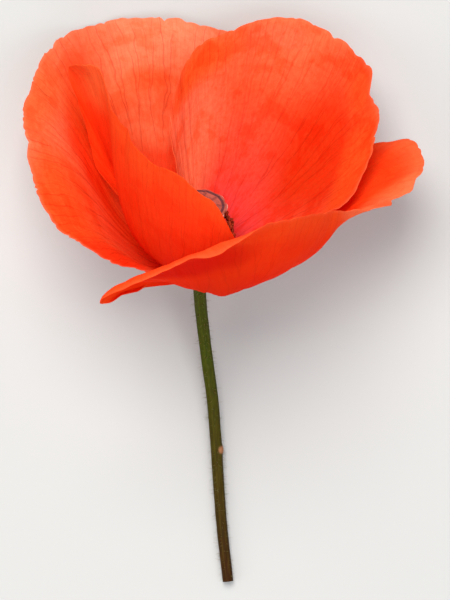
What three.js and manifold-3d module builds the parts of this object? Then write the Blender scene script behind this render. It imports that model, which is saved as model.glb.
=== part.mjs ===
// A common red poppy, cut with a short stem and lying on its back petals and the stem's cut end.
// Millimetres, +Z up. The head points along +Y and the surface that it lies on is Z = 0.
//
// The flower is built in its own frame, then turned to lie down. There the stalk meets the petals at
// the origin, Z runs up through the seed vessel, and an azimuth is counted from +X towards +Y. A petal
// is a fan of ribs. Each rib is one cubic curve from the claw at the stalk to a point on the rim, and
// its lean is its angle from the flower's axis where it leaves the claw and where it reaches the rim.

import * as THREE from 'three';
import { mergeVertices } from 'three/addons/utils/BufferGeometryUtils.js';
import Module from 'manifold-3d';

// Petals: a blade of even thickness, in an outer pair and an inner pair
const BLADE = 0.6;
const OUTER_CLAW = { radius: 3.6, height: -0.9, halfSpan: 78 };
const INNER_CLAW = { radius: 2.6, height: 0.4, halfSpan: 63 };
const RIB_COUNT = 36;
const RIB_STEPS = 13;
const RIM_HANDLE = 0.38;
const CLAW_TURN = 0.35;
const RIM_WAVE = 0.35;
const RIM_NOTCH = 0.45;

// Stalk: the stem's line runs from the receptacle to the cut, in the frame of the lying flower
const STEM_TOP_RADIUS = 1.3;
const STEM_CUT_RADIUS = 1.1;
const STEM_SIDES = 16;
const STEM_STEPS = 26;
const RECEPTACLE_TOP = 1.0;

// Seed vessel under its flat stigma disc, on a short foot
const PISTIL_FOOT = 1.3;
const VESSEL_RADIUS = 3.4;
const DISC_RADIUS = 5.2;
const DISC_HEIGHT = 12.0;
const DISC_RAYS = 10;

// Stamens: one crowded ring, rooted in a collar round the foot of the seed vessel
const STAMEN_COUNT = 44;
const FILAMENT_RADIUS = 0.2;
const COLLAR = { inner: 1.25, outer: 2.1, bottom: 1.3, top: 1.95 };
const ANTHER_LENGTH = 1.5;
const ANTHER_RADIUS = 0.42;

// How the flower lies: its axis leans back from upright, and the whole is rocked onto its low points
const AXIS_LEAN = -50;
const ROCK_X = 0.19;
const ROCK_Y = -1.14;

// Ribs: azimuth, distance out and height of the rim point, lean at the claw, lean at the rim, and the
// belly, which is how far the rib holds its first direction, in percent of its chord
const PETALS = [
  {
    name: 'petal_outer_left',
    claw: OUTER_CLAW,
    middle: 146,
    ribs: [
      [40, 31, 6.5, 88, 84, 38],
      [53.5, 46, 12.5, 84, 66, 38],
      [63.5, 46.5, 17.8, 80, 62, 38],
      [84, 45, 25, 78, 50, 38],
      [94, 45.5, 26.8, 78, 48, 38],
      [103, 47, 27, 78, 52, 38],
      [112, 50, 25.8, 78, 62, 38],
      [118, 52, 24.4, 79, 68, 38],
      [125, 51, 24.2, 80, 70, 38],
      [133, 47.3, 24.5, 80, 70, 40],
      [144, 42.3, 25, 82, 75, 42],
      [156.5, 38, 24, 84, 85, 42],
      [175, 33, 20.5, 84, 98, 42],
      [199, 29.5, 15.5, 84, 98, 42],
      [216, 23.5, 11.5, 90, 88, 46],
      [228, 16.5, 7, 96, 70, 48],
      [234, 9, -0.5, 96, 85, 40],
    ],
  },
  {
    name: 'petal_inner_right',
    claw: INNER_CLAW,
    middle: 62,
    ribs: [
      [4, 9, 4, 80, 60, 38],
      [2, 20, 8.5, 82, 50, 38],
      [2, 29, 13.5, 84, 45, 38],
      [16, 35, 17.5, 84, 45, 38],
      [27, 40, 21.5, 82, 50, 38],
      [35, 42.5, 24, 80, 45, 38],
      [46, 46, 28, 78, 38, 38],
      [62, 46, 29.5, 76, 36, 38],
      [72, 44.5, 29, 76, 34, 38],
      [83, 39, 28, 76, 30, 38],
      [92, 34, 26.5, 74, 26, 38],
      [102, 25.5, 22, 72, 25, 38],
      [107, 19.5, 18, 70, 30, 38],
      [111, 12, 12, 66, 20, 38],
      [118, 6, 5, 68, 30, 38],
    ],
  },
  {
    name: 'petal_inner_left',
    claw: INNER_CLAW,
    middle: 226,
    ribs: [
      [160, 7, 3, 76, 66, 36],
      [156, 13.5, 7.2, 76, 64, 38],
      [152, 20.5, 11.8, 76, 62, 38],
      [147, 26.5, 16.6, 75, 60, 38],
      [141.5, 31.5, 21.4, 74, 58, 38],
      [137.5, 35.5, 26, 72, 56, 38],
      [136, 37, 29, 70, 50, 38],
      [135, 33.5, 31, 70, 40, 38],
      [138, 27, 33, 72, 25, 40],
      [148, 20, 33.5, 78, 0, 44],
      [172, 15.5, 34, 80, -12, 48],
      [210, 14.5, 34.5, 76, -8, 46],
      [240, 17, 35.5, 76, 0, 44],
      [260, 20.5, 36, 79, 0, 44],
      [274, 23.5, 33, 84, 0, 46],
      [284, 25, 27, 84, 5, 46],
      [291, 23.5, 17, 84, 20, 44],
      [297, 15, 6, 84, 40, 40],
    ],
  },
  {
    name: 'petal_outer_right',
    claw: OUTER_CLAW,
    middle: 318,
    ribs: [
      [244, 11, 0.4, 88, 90, 38],
      [243, 24, 9.2, 84, 62, 38],
      [239, 34.5, 13.3, 82, 80, 40],
      [244, 32, 17.4, 84, 60, 40],
      [252, 30, 20, 86, 50, 42],
      [266, 29.5, 24, 86, 35, 42],
      [278, 30.6, 27.5, 86, 25, 43],
      [285, 30.5, 28.6, 86, 20, 44],
      [312, 29, 26.7, 87, 8, 52],
      [340, 29, 20, 93, 12, 62],
      [350, 31, 15.5, 95, 45, 60],
      [357, 35, 12.6, 95, 85, 56],
      [365, 40, 13, 94, 98, 50],
      [372, 46.3, 15, 92, 90, 46],
      [383, 47, 15.8, 92, 80, 44],
      [388, 44, 14, 92, 78, 42],
      [393, 34, 9, 92, 84, 40],
      [395, 20, 0.5, 92, 90, 38],
    ],
  },
];

// The stalk's foot that the petals grow from: height above the origin and radius
const RECEPTACLE = [
  [RECEPTACLE_TOP, 1.9],
  [0.8, 2.25],
  [-0.25, 2.25],
  [-0.35, 3.2],
  [-1.4, 3.2],
  [-2.2, 2.4],
  [-3, 1.65],
];

// The stem's line after the receptacle, in the frame of the lying flower, to the cut end
const STEM_LINE = [
  [0, -3.3, -2.9],
  [0, -5.4, -5.1],
  [0.2, -9, -8.8],
  [0.7, -14.2, -12.7],
  [1.6, -21.5, -16],
  [2.6, -29, -17.8],
  [3.4, -39.3, -18.8],
  [4.4, -53.8, -19.1],
  [5.8, -66.8, -19.2],
];

// Seed vessel and stigma disc: height, radius and how far the disc's rays stand out there
const PISTIL = [
  [PISTIL_FOOT, 0.9, 0],
  [2.2, 0.95, 0],
  [2.6, 1.6, 0],
  [3.5, 2.3, 0],
  [5.1, 3.0, 0],
  [7.2, VESSEL_RADIUS, 0],
  [9.2, 3.2, 0],
  [10.3, 2.7, 0],
  [DISC_HEIGHT - 1.2, 3.1, 0.05],
  [DISC_HEIGHT - 0.8, 4.5, 0.2],
  [DISC_HEIGHT - 0.3, DISC_RADIUS, 0.35],
  [DISC_HEIGHT + 0.1, DISC_RADIUS, 0.35],
  [DISC_HEIGHT + 0.35, 4.3, 0.25],
  [DISC_HEIGHT + 0.6, 2.4, 0.1],
  [DISC_HEIGHT + 0.8, 0.6, 0],
];

const LOOKS = {
  petal: { color: '#e8381c', roughness: 0.6 },
  pistil: { color: '#8a5a4a', roughness: 0.7 },
  stamen: { color: '#3a1420', roughness: 0.7 },
  stem: { color: '#5c6428', roughness: 0.6 },
};

const radians = THREE.MathUtils.degToRad;

// The point at a distance out from the flower's axis and a height, at an azimuth in degrees
function around(azimuth, out, height) {
  return new THREE.Vector3(out * Math.cos(radians(azimuth)), out * Math.sin(radians(azimuth)), height);
}

// The unit vector at an azimuth that leans from the flower's axis, both in degrees
function direction(lean, azimuth) {
  return around(azimuth, Math.sin(radians(lean)), Math.cos(radians(lean)));
}

// A sine that swings once for each whole turn, from a starting phase in degrees
function swing(turns, phase) {
  return Math.sin(radians(360 * turns + phase));
}

// An even draw from 0 to 1 for a whole number, the same every time
function draw(number) {
  const value = Math.sin(number * 12.9898 + 4.1) * 43758.5453;
  return value - Math.floor(value);
}

// A smooth curve through rows of numbers at knots, with each slope taken from the rows on either side
function blend(knots, rows, at) {
  let i = 0;
  while (i < knots.length - 2 && at > knots[i + 1]) i += 1;
  const step = knots[i + 1] - knots[i];
  const s = (at - knots[i]) / step;
  const slope = (row, column) => {
    const before = Math.max(row - 1, 0);
    const after = Math.min(row + 1, rows.length - 1);
    return (rows[after][column] - rows[before][column]) / (knots[after] - knots[before]);
  };
  return rows[i].map((value, column) => {
    const start = (2 * s ** 3 - 3 * s ** 2 + 1) * value + (s ** 3 - 2 * s ** 2 + s) * step * slope(i, column);
    const next = rows[i + 1][column];
    return start + (3 * s ** 2 - 2 * s ** 3) * next + (s ** 3 - s ** 2) * step * slope(i + 1, column);
  });
}

// The ribs of a petal, evenly spaced along its rim, each as a cubic curve
function petalRibs(petal) {
  const rows = petal.ribs.map(([azimuth, out, up, leanClaw, leanRim, belly]) => {
    const rim = around(azimuth, out, up);
    return [rim.x, rim.y, rim.z, azimuth, leanClaw, leanRim, belly];
  });
  const knots = [0];
  for (let i = 1; i < rows.length; i += 1) {
    const [a, b] = [rows[i - 1], rows[i]];
    knots.push(knots[i - 1] + Math.hypot(b[0] - a[0], b[1] - a[1], b[2] - a[2]));
  }
  const length = knots[knots.length - 1];
  return Array.from({ length: RIB_COUNT + 1 }, (_, column) => {
    const u = column / RIB_COUNT;
    const [x, y, z, azimuth, leanClaw, leanRim, belly] = blend(knots, rows, u * length);
    const clawAzimuth = petal.middle + petal.claw.halfSpan * (2 * u - 1);
    const claw = around(clawAzimuth, petal.claw.radius, petal.claw.height);
    const rim = new THREE.Vector3(x, y, z);
    const chord = rim.distanceTo(claw);
    const leaving = direction(leanClaw, clawAzimuth + CLAW_TURN * (azimuth - clawAzimuth));
    const arriving = direction(leanRim, azimuth);
    const rib = new THREE.CubicBezierCurve3(
      claw,
      claw.clone().addScaledVector(leaving, (chord * belly) / 100),
      rim.clone().addScaledVector(arriving, -chord * RIM_HANDLE),
      rim,
    );
    return { rib, chord, u };
  });
}

// The middle of a petal's blade as rows of points from claw to rim, with a notched and waved rim
function petalSheet(petal) {
  const ribs = petalRibs(petal);
  return Array.from({ length: RIB_STEPS + 1 }, (_, step) => {
    const v = step / RIB_STEPS;
    return ribs.map(({ rib, chord, u }) => {
      const notch = 0.6 * swing(4 * u, petal.middle) + 0.4 * swing(7 * u, 2 * petal.middle);
      const point = rib.getPoint(v * (1 + (RIM_NOTCH * notch * v ** 6) / chord));
      point.z += RIM_WAVE * swing(6 * u, 3 * petal.middle) * Math.sin(Math.PI * u) * v ** 4;
      return point;
    });
  });
}

// A blade of even thickness on a sheet of points, split into triangles alike on both faces
function blade(sheet, thickness) {
  const rows = sheet.length;
  const columns = sheet[0].length;
  const clamp = THREE.MathUtils.clamp;
  const at = (row, column) => sheet[clamp(row, 0, rows - 1)][clamp(column, 0, columns - 1)];
  const positions = [];
  [thickness / 2, -thickness / 2].forEach((offset) => {
    for (let row = 0; row < rows; row += 1) {
      for (let column = 0; column < columns; column += 1) {
        const outward = at(row + 1, column).clone().sub(at(row - 1, column));
        const across = at(row, column + 1).clone().sub(at(row, column - 1));
        const normal = outward.cross(across).normalize();
        positions.push(...at(row, column).clone().addScaledVector(normal, offset));
      }
    }
  });
  const inner = (row, column) => row * columns + column;
  const outer = (row, column) => rows * columns + inner(row, column);
  const indices = [];
  for (let row = 0; row < rows - 1; row += 1) {
    for (let column = 0; column < columns - 1; column += 1) {
      const corners = [[row, column], [row + 1, column], [row + 1, column + 1], [row, column + 1]];
      const [a, b, c, d] = corners.map((corner) => inner(...corner));
      const [e, f, g, h] = corners.map((corner) => outer(...corner));
      indices.push(a, b, c, a, c, d, e, g, f, e, h, g);
    }
  }
  const edge = (from, to) => {
    const [a, b, c, d] = [inner(...from), inner(...to), outer(...to), outer(...from)];
    indices.push(a, b, c, a, c, d);
  };
  for (let column = 0; column < columns - 1; column += 1) {
    edge([0, column], [0, column + 1]);
    edge([rows - 1, column + 1], [rows - 1, column]);
  }
  for (let row = 0; row < rows - 1; row += 1) {
    edge([row + 1, 0], [row, 0]);
    edge([row, columns - 1], [row + 1, columns - 1]);
  }
  return indexed(positions, indices);
}

function indexed(positions, indices) {
  const geometry = new THREE.BufferGeometry();
  geometry.setAttribute('position', new THREE.Float32BufferAttribute(positions, 3));
  geometry.setIndex(indices);
  return geometry;
}

// A closed solid through rings of points, each counted the same way round, with a flat fan at each end
function loft(rings) {
  const sides = rings[0].length;
  const positions = rings.flat().flatMap((point) => [...point]);
  const indices = [];
  for (let ring = 0; ring < rings.length - 1; ring += 1) {
    for (let side = 0; side < sides; side += 1) {
      const next = (side + 1) % sides;
      const [a, b] = [ring * sides + side, ring * sides + next];
      indices.push(a, b, b + sides, a, b + sides, a + sides);
    }
  }
  [0, rings.length - 1].forEach((ring) => {
    const middle = new THREE.Vector3();
    rings[ring].forEach((point) => middle.addScaledVector(point, 1 / sides));
    const hub = positions.length / 3;
    positions.push(...middle);
    for (let side = 0; side < sides; side += 1) {
      const [a, b] = [ring * sides + side, ring * sides + ((side + 1) % sides)];
      indices.push(hub, ring ? a : b, ring ? b : a);
    }
  });
  return indexed(positions, indices);
}

// A ring of points round a line's direction, counted anticlockwise when seen from ahead
function ringAcross(centre, ahead, radius, sides) {
  const start = new THREE.Vector3(1, 0, 0);
  start.addScaledVector(ahead, -start.dot(ahead)).normalize();
  return Array.from({ length: sides }, (_, side) => {
    const spoke = start.clone().applyAxisAngle(ahead, (2 * Math.PI * side) / sides);
    return spoke.multiplyScalar(radius).add(centre);
  });
}

// The stem with the receptacle at its top, in the frame of the lying flower
function stemGeometry() {
  const down = new THREE.Vector3(0, 0, -1).applyAxisAngle(new THREE.Vector3(1, 0, 0), radians(AXIS_LEAN));
  const rings = RECEPTACLE.map(([height, radius]) => {
    return ringAcross(down.clone().multiplyScalar(-height), down, radius, STEM_SIDES);
  });
  const points = STEM_LINE.map((point) => new THREE.Vector3(...point));
  const line = new THREE.CatmullRomCurve3(points, false, 'centripetal');
  for (let step = 0; step <= STEM_STEPS; step += 1) {
    const along = step / STEM_STEPS;
    const ahead = step === 0 ? down : line.getTangentAt(along);
    const radius = THREE.MathUtils.lerp(STEM_TOP_RADIUS, STEM_CUT_RADIUS, along);
    rings.push(ringAcross(line.getPointAt(along), ahead, radius, STEM_SIDES));
  }
  return loft(rings);
}

// The seed vessel with its stigma disc, whose rays swell its edge and its top
function pistilGeometry() {
  const sides = DISC_RAYS * 4;
  const rings = PISTIL.map(([height, radius, ray]) => Array.from({ length: sides }, (_, side) => {
    const swell = ray * Math.cos((2 * Math.PI * DISC_RAYS * side) / sides);
    return around((360 * side) / sides, radius + swell, height);
  }));
  return loft(rings);
}

const wasm = await Module();
wasm.setup();

// A geometry as a manifold-3d solid
function solid(geometry) {
  const bare = new THREE.BufferGeometry();
  bare.setAttribute('position', geometry.getAttribute('position'));
  bare.setIndex(geometry.getIndex());
  const merged = mergeVertices(bare);
  return new wasm.Manifold(new wasm.Mesh({
    numProp: 3,
    vertProperties: merged.getAttribute('position').array,
    triVerts: new Uint32Array(merged.getIndex().array),
  }));
}

// One stamen: a bowed filament from inside the collar, with its anther across the tip
function stamenGeometries(index) {
  const azimuth = (360 * (index + 0.6 * draw(index))) / STAMEN_COUNT;
  const outerRow = index % 2;
  const out = 5.9 + 1.1 * outerRow + 0.5 * draw(index + 100);
  const up = 9.3 - 1.4 * outerRow - 0.9 * draw(index + 200);
  const line = new THREE.QuadraticBezierCurve3(
    around(azimuth, 1.65, 1.6),
    around(azimuth, 4.2, 3.4),
    around(azimuth, out, up),
  );
  const rings = [0, 0.4, 1].map((along) => {
    return ringAcross(line.getPoint(along), line.getTangent(along), FILAMENT_RADIUS * (1.1 - 0.3 * along), 3);
  });
  const anther = new THREE.SphereGeometry(1, 5, 4);
  anther.scale(ANTHER_RADIUS, ANTHER_LENGTH / 2, ANTHER_RADIUS);
  anther.rotateX(radians(90 * draw(index + 300) - 45));
  anther.rotateZ(radians(azimuth + 60 * draw(index + 400) - 30));
  anther.translate(...line.getPoint(1));
  return [loft(rings), anther];
}

// All stamens joined to the collar that they grow from
function stamensGeometry() {
  const { inner, outer, bottom, top } = COLLAR;
  const outline = [[inner, bottom], [outer, bottom], [outer, top], [inner, top], [inner, bottom]];
  const collar = new THREE.LatheGeometry(outline.map(([out, up]) => new THREE.Vector2(out, up)), 24);
  collar.rotateX(Math.PI / 2);
  let joined = solid(collar);
  for (let index = 0; index < STAMEN_COUNT; index += 1) {
    stamenGeometries(index).forEach((piece) => {
      joined = joined.add(solid(piece));
    });
  }
  const { vertProperties, triVerts } = joined.getMesh();
  return indexed(vertProperties, Array.from(triVerts));
}

function part(name, geometry, looks) {
  const mesh = new THREE.Mesh(geometry, new THREE.MeshStandardMaterial({ ...looks, metalness: 0 }));
  mesh.name = name;
  return mesh;
}

const head = new THREE.Group();
PETALS.forEach((petal) => head.add(part(petal.name, blade(petalSheet(petal), BLADE), LOOKS.petal)));
head.add(part('pistil', pistilGeometry(), LOOKS.pistil));
head.add(part('stamens', stamensGeometry(), LOOKS.stamen));
head.rotation.x = radians(AXIS_LEAN);

const lying = new THREE.Group();
lying.add(head, part('stem', stemGeometry(), LOOKS.stem));
lying.rotation.set(radians(ROCK_X), radians(ROCK_Y), 0);

const poppy = new THREE.Group();
poppy.add(lying);
const box = new THREE.Box3().setFromObject(poppy, true);
const middle = box.getCenter(new THREE.Vector3());
lying.position.set(-middle.x, -middle.y, -box.min.z);

export default poppy;
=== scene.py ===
"""A common red poppy, cut and laid down: the looks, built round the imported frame.

Sizes are in millimetres in the flower's own frame, where the stalk meets the petals at the origin, Z runs
up through the seed vessel, and an azimuth is counted in degrees from +X towards +Y. Each finished piece is
turned to lie as the frame's own nodes do, and its mesh is stored in metres.
"""

import bpy
import numpy as np
from bpy.props import FloatProperty, FloatVectorProperty, IntProperty, PointerProperty
from mathutils import Matrix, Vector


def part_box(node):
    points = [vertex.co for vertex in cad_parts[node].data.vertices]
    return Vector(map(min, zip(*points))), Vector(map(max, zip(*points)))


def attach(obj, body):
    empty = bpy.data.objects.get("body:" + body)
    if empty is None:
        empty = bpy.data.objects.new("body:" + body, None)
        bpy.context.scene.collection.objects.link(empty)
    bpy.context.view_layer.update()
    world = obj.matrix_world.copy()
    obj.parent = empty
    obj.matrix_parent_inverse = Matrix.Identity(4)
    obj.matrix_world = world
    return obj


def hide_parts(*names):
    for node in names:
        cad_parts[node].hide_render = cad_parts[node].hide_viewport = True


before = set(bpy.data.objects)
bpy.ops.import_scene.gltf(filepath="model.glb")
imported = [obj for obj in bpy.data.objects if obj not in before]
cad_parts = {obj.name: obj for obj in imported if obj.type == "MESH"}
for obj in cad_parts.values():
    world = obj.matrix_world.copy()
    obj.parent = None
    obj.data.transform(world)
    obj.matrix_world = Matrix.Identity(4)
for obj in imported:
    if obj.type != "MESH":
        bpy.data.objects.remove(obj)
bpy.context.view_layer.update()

bl_info = {
    "name": "Lying Poppy",
    "version": (1, 0, 0),
    "blender": (4, 5, 0),
    "location": "View3D > Sidebar > Poppy",
    "description": "Builds a cut red poppy from ribbed petals, a bristly stem, a seed vessel and its stamens",
    "category": "Add Mesh",
}

MM = 0.001

# How the flower lies: its axis leans back from upright, and the whole is rocked onto its low points
AXIS_LEAN = -50.0
ROCK_X = 0.19
ROCK_Y = -1.14

# Claws, where the petals leave the receptacle: radius, height and half the angle that they span
OUTER_CLAW = (3.6, -0.9, 78.0)
INNER_CLAW = (2.6, 0.4, 63.0)
CLAW_TURN = 0.35
PETAL_GRID = (352, 134)
FLOOR_GAP = 0.02
RIM_HANDLE = 0.38
RIM_NOTCH = 0.45
RIM_WAVE = 0.35

# Each petal's claw, middle azimuth and ribs. A rib has the azimuth, distance out and height of its point
# on the rim, its lean from the axis at the claw and at the rim, and its belly as a share of its length.
PETALS = {
    "petal_outer_left": (OUTER_CLAW, 146, (
        (40, 31, 6.5, 88, 84, 38), (53.5, 46, 12.5, 84, 66, 38), (63.5, 46.5, 17.8, 80, 62, 38),
        (84, 45, 25, 78, 50, 38), (94, 45.5, 26.8, 78, 48, 38), (103, 47.1, 27.1, 78, 52, 38),
        (112, 50.4, 26.2, 78, 62, 38), (118, 51.2, 24.4, 79, 68, 38), (125, 49.8, 24.2, 80, 70, 38),
        (133, 47.3, 24.5, 80, 70, 40), (144, 42.3, 25, 82, 75, 42), (156.5, 38, 24, 84, 85, 42),
        (175, 33, 20.5, 84, 98, 42), (199, 29.5, 15.5, 84, 98, 42), (216, 23.5, 11.5, 90, 88, 46),
        (228, 16.5, 7, 96, 70, 48), (234, 9, -0.5, 96, 85, 40),
    )),
    "petal_inner_right": (INNER_CLAW, 62, (
        (4, 9, 4, 80, 60, 38), (2, 20, 8.5, 82, 50, 38), (2, 29, 13.5, 84, 45, 38),
        (16, 35, 17.5, 84, 45, 38), (27, 40, 21.5, 82, 50, 38), (35, 42.5, 24, 80, 45, 38),
        (46, 46, 28, 78, 38, 38), (62, 46, 29.5, 76, 36, 38), (72, 44.5, 29, 76, 34, 38),
        (83, 39, 28, 76, 30, 38), (92, 35, 26, 74, 32, 38), (101, 27, 21, 73, 36, 38),
        (105.5, 21.5, 16.5, 72, 40, 38), (108.5, 13.5, 11, 70, 35, 38), (116, 6.5, 4.5, 70, 35, 38),
    )),
    "petal_inner_left": (INNER_CLAW, 226, (
        (160, 7, 3, 76, 66, 36), (160, 13, 8, 45, 62, 38), (154, 21, 12.5, 38, 50, 38),
        (146, 26, 16.5, 38, 40, 38), (141, 30, 22, 42, 35, 38), (140, 33, 27.5, 48, 35, 38),
        (140, 33, 31.5, 54, 35, 38), (143, 28.5, 34.5, 62, 30, 38), (149, 23, 37, 72, 20, 39),
        (159, 18.5, 36.5, 80, 0, 42), (178, 15.5, 35, 78, -10, 43), (210, 14.5, 34.5, 76, -8, 44),
        (240, 17, 35.5, 76, 0, 44), (260, 20.5, 36, 79, 0, 44), (274, 23.5, 33, 84, 0, 46),
        (284, 25, 27, 84, 5, 46), (291, 23.5, 17, 84, 20, 44), (297, 15, 6, 84, 40, 40),
    )),
    "petal_outer_right": (OUTER_CLAW, 318, (
        (244, 11, 2.5, 75, 80, 38), (243.5, 23.5, 10, 73, 66, 38), (239, 34.5, 13, 70, 84, 40),
        (239, 34.5, 14.5, 66, 80, 40), (244.5, 32, 17.5, 70, 64, 38), (252, 30, 20, 80, 52, 40),
        (266, 28.5, 24, 87, 35, 41), (278.5, 29, 29, 92, 25, 44), (286, 28.5, 29, 92, 20, 45),
        (313.5, 28, 26.5, 85, 8, 46), (340, 29, 20, 86, 12, 48), (350, 31, 15.5, 92, 45, 55),
        (357, 35, 14, 93, 85, 52), (365, 40, 13, 94, 98, 50), (372, 46.5, 15, 92, 90, 46),
        (382.5, 47, 15, 92, 80, 44), (388.5, 44.5, 13.5, 92, 78, 42), (393, 37.5, 11.5, 92, 84, 40),
        (395, 20, 0.5, 92, 90, 38),
    )),
}

# Stem: its line in the frame of the lying flower, and half its thickness at each end
STEM_LINE = (
    (0, -3.3, -2.9), (0, -5.4, -5.1), (0.2, -9, -8.8), (0.7, -14.2, -12.7), (1.6, -21.5, -16),
    (2.6, -29, -17.8), (3.4, -39.3, -18.8), (4.4, -53.8, -19.1), (5.8, -66.8, -19.2),
)
STEM_TOP_RADIUS = 1.3
STEM_CUT_RADIUS = 1.1

# Pistil: height, radius and how far the stigma's rays swell the ring there
DISC_HEIGHT = 12.0
DISC_RADIUS = 5.2
DISC_RAYS = 10
DISC_LIFT = 0.7
DISC_WIDER = 0.35
PISTIL = (
    (1.3, 0.9, 0), (2.2, 0.95, 0), (2.6, 1.6, 0), (3.5, 2.3, 0), (5.1, 3.0, 0), (7.2, 3.4, 0), (9.2, 3.2, 0),
    (10.3, 2.7, 0), (DISC_HEIGHT - 1.2, 3.1, 0.05), (DISC_HEIGHT - 0.8, 4.5, 0.2),
    (DISC_HEIGHT - 0.3, DISC_RADIUS, 0.35), (DISC_HEIGHT + 0.1, DISC_RADIUS, 0.35),
    (DISC_HEIGHT + 0.35, 4.3, 0.25), (DISC_HEIGHT + 0.6, 2.4, 0.1), (DISC_HEIGHT + 0.8, 0.6, 0),
)

# Camera: how far back it stands, where it aims beside the stalk's top, and how tall a stretch it sees
CAMERA_BACK = 500.0
CAMERA_AIM = (5.2, -8.4)
CAMERA_TALL = 120.0


def turn(axis, degrees):
    """The 3 by 3 matrix that turns by an angle about X or Y."""
    return np.array(Matrix.Rotation(np.radians(degrees), 3, axis))


LYING = turn("X", ROCK_X) @ turn("Y", ROCK_Y)
HEAD = LYING @ turn("X", AXIS_LEAN)


def around(azimuth, out, height):
    """Points at a distance out from the flower's axis and a height, at an azimuth in degrees."""
    angle = np.radians(azimuth)
    return np.stack(np.broadcast_arrays(out * np.cos(angle), out * np.sin(angle), height), axis=-1)


def direction(lean, azimuth):
    """Unit vectors at an azimuth that lean from the flower's axis, both in degrees."""
    return around(azimuth, np.sin(np.radians(lean)), np.cos(np.radians(lean)))


def unit(vectors):
    """The same vectors, each made one long."""
    return vectors / np.maximum(np.linalg.norm(vectors, axis=-1, keepdims=True), 1e-12)


def swing(turns, phase):
    """A sine that swings once for each whole turn, from a starting phase in degrees."""
    return np.sin(2 * np.pi * turns + np.radians(phase))


def ease(low, high, value):
    """0 below the low value, 1 above the high one, and 3t^2 - 2t^3 for a share t of the way between."""
    t = np.clip((value - low) / (high - low), 0, 1)
    return t * t * (3 - 2 * t)


def grain(x, y, seed):
    """Smooth random heights from -1 to 1: even draws at whole numbers of x and y, eased in between."""
    draws = np.random.default_rng(seed).uniform(-1, 1, (128, 512))
    x, y = np.broadcast_arrays(np.asarray(x) + 1024.0, np.asarray(y) + 1024.0)
    column, row = np.floor(x).astype(int), np.floor(y).astype(int)
    s, t = ease(0, 1, x - column), ease(0, 1, y - row)
    at = lambda down, across: draws[(row + down) % 128, (column + across) % 512]
    return (at(0, 0) * (1 - s) + at(0, 1) * s) * (1 - t) + (at(1, 0) * (1 - s) + at(1, 1) * s) * t


def smooth_through(knots, rows, at):
    """Cubic pieces through rows of numbers at knots, with each slope taken from the rows on either side."""
    knots, rows, at = np.asarray(knots, float), np.asarray(rows, float), np.asarray(at, float)
    slopes = np.empty_like(rows)
    slopes[1:-1] = (rows[2:] - rows[:-2]) / (knots[2:] - knots[:-2])[:, None]
    slopes[0] = (rows[1] - rows[0]) / (knots[1] - knots[0])
    slopes[-1] = (rows[-1] - rows[-2]) / (knots[-1] - knots[-2])
    i = np.clip(np.searchsorted(knots, at, side="right") - 1, 0, len(knots) - 2)
    step = (knots[i + 1] - knots[i])[:, None]
    s = (at - knots[i])[:, None] / step
    start = (2 * s**3 - 3 * s**2 + 1) * rows[i] + (s**3 - 2 * s**2 + s) * step * slopes[i]
    return start + (3 * s**2 - 2 * s**3) * rows[i + 1] + (s**3 - s**2) * step * slopes[i + 1]


def pistil_rings(sides, rows):
    """Rings of the pistil: at each row of height, radius and ray, the radius swells by the ray's cosine."""
    height, radius, ray = np.asarray(rows, float).T[:, :, None]
    azimuth = 360.0 * np.arange(sides) / sides
    swell = ray * np.cos(np.radians(DISC_RAYS * azimuth))
    return around(azimuth, radius + swell, height)


def flower_origin():
    """Where the flower's origin lies in the row frame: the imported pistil's box less this pistil's own."""
    low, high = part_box("pistil")
    rings = pistil_rings(4 * DISC_RAYS, PISTIL).reshape(-1, 3) @ HEAD.T
    return (np.array(low) + np.array(high)) / 2 - MM * (rings.min(0) + rings.max(0)) / 2


ORIGIN = flower_origin()


def placed(points, pose):
    """Points in the flower's frame, or in the lying frame, brought into the row frame in metres."""
    return MM * (np.asarray(points) @ pose.T) + ORIGIN


def grid_faces(rows, columns, around_too=False, start=0):
    """Quads between neighbours on a grid stored row by row; the last column may join the first."""
    down = np.arange(rows - 1)[:, None] * columns
    right = np.arange(columns if around_too else columns - 1)[None, :]
    a, d = down + right, down + (right + 1) % columns
    return start + np.stack([a, a + columns, d + columns, d], axis=-1).reshape(-1, 4)


def cap_faces(ring, hub, outwards):
    """Triangles from a ring of vertex numbers to a hub, counted so that they face outwards."""
    following = np.roll(ring, -1)
    pair = (ring, following) if outwards else (following, ring)
    return np.stack([np.full(len(ring), hub), *pair], axis=-1)


def add_piece(name, points, faces, material, node=None, uv=None, marks=None):
    """A smooth mesh object from whole arrays, riding on the root body and standing for its CAD node.

    Faces are arrays of three or four vertex numbers a row. The UV pair and each mark are given per vertex.
    """
    mesh = bpy.data.meshes.new(name)
    sizes = np.concatenate([np.full(len(part), part.shape[1]) for part in faces])
    corners = np.concatenate([part.reshape(-1) for part in faces]).astype(np.int32)
    mesh.vertices.add(len(points))
    mesh.vertices.foreach_set("co", np.asarray(points, np.float32).reshape(-1))
    mesh.loops.add(len(corners))
    mesh.loops.foreach_set("vertex_index", corners)
    mesh.polygons.add(len(sizes))
    mesh.polygons.foreach_set("loop_start", (np.cumsum(sizes) - sizes).astype(np.int32))
    mesh.polygons.foreach_set("use_smooth", np.ones(len(sizes), bool))
    if uv is not None:
        layer = mesh.uv_layers.new(name="surface")
        layer.data.foreach_set("uv", np.asarray(uv, np.float32)[corners].reshape(-1))
    for mark, values in (marks or {}).items():
        mesh.attributes.new(mark, "FLOAT", "POINT").data.foreach_set("value", np.asarray(values, np.float32))
    mesh.update(calc_edges=True)
    if mesh.validate(verbose=False):
        raise RuntimeError(f"{name} holds faces that are not valid")
    mesh.materials.append(material)
    piece = bpy.data.objects.new(name, mesh)
    bpy.context.scene.collection.objects.link(piece)
    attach(piece, "root")
    if node:
        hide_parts(node)
    return piece


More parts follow.
